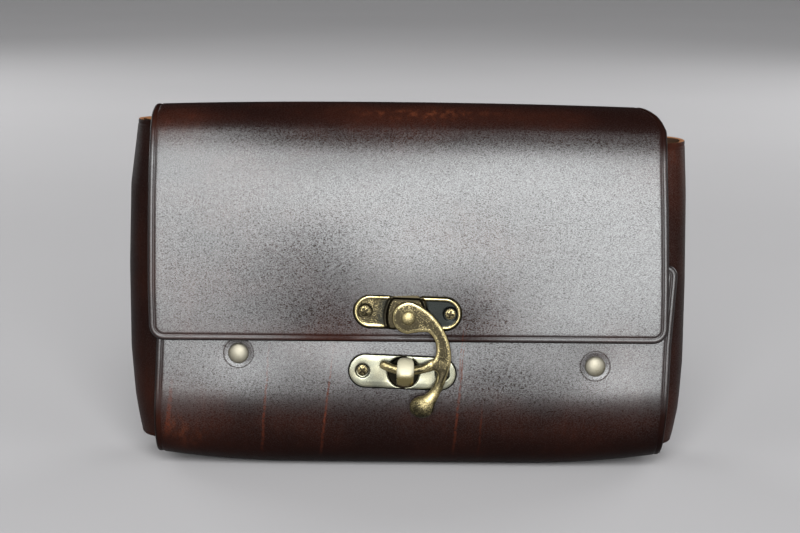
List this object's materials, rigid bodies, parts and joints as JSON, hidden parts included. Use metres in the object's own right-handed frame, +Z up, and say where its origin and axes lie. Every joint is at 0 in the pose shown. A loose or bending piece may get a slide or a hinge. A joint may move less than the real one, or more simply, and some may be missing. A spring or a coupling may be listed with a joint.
{
  "type": "belt bag",
  "caption": "Leather belt bag: one strip wraps front, base, back and flap, gussets close the sides, rivets hold them and a swing hook clasp shuts the flap.",
  "frame": {"origin": "on the ground under the flat of the base, in the middle of the bag's width and depth", "axes": "+X to the right as the front is looked at, -Y out of the front, +Z up"},
  "size_m": [0.2062, 0.0683, 0.1333],
  "materials": {
    "leather": "glossy dark brown full-grain leather, creased and burnished edges",
    "gusset_leather": "dark reddish brown leather with raw tan cut edges",
    "pale_brass": "polished pale brass",
    "aged_brass": "antique brass with dark patina in the recesses"
  },
  "bodies": {
    "bag": {"body_wrap": "leather", "gusset_left": "gusset_leather", "gusset_right": "gusset_leather", "belt_loop_left": "leather", "belt_loop_right": "leather", "rivet_front_left": "pale_brass", "rivet_front_right": "pale_brass", "rivet_back_left_low": "pale_brass", "rivet_back_left_high": "pale_brass", "rivet_back_right_low": "pale_brass", "rivet_back_right_high": "pale_brass", "clasp_plate_upper": "aged_brass", "clasp_plate_lower": "aged_brass", "clasp_pivot": "aged_brass", "screw_upper_left": "aged_brass", "screw_upper_right": "aged_brass", "screw_lower_left": "aged_brass", "screw_lower_right": "aged_brass"},
    "hook": {"clasp_hook": "aged_brass"}
  },
  "joints": [
    {"name": "hook_swing", "type": "hinge", "parent": "bag", "child": "hook", "pos_m": [0, -0.02786, 0.05935], "axis": [0, -0.9976, 0.0698], "range_deg": [0, 120]}
  ]
}
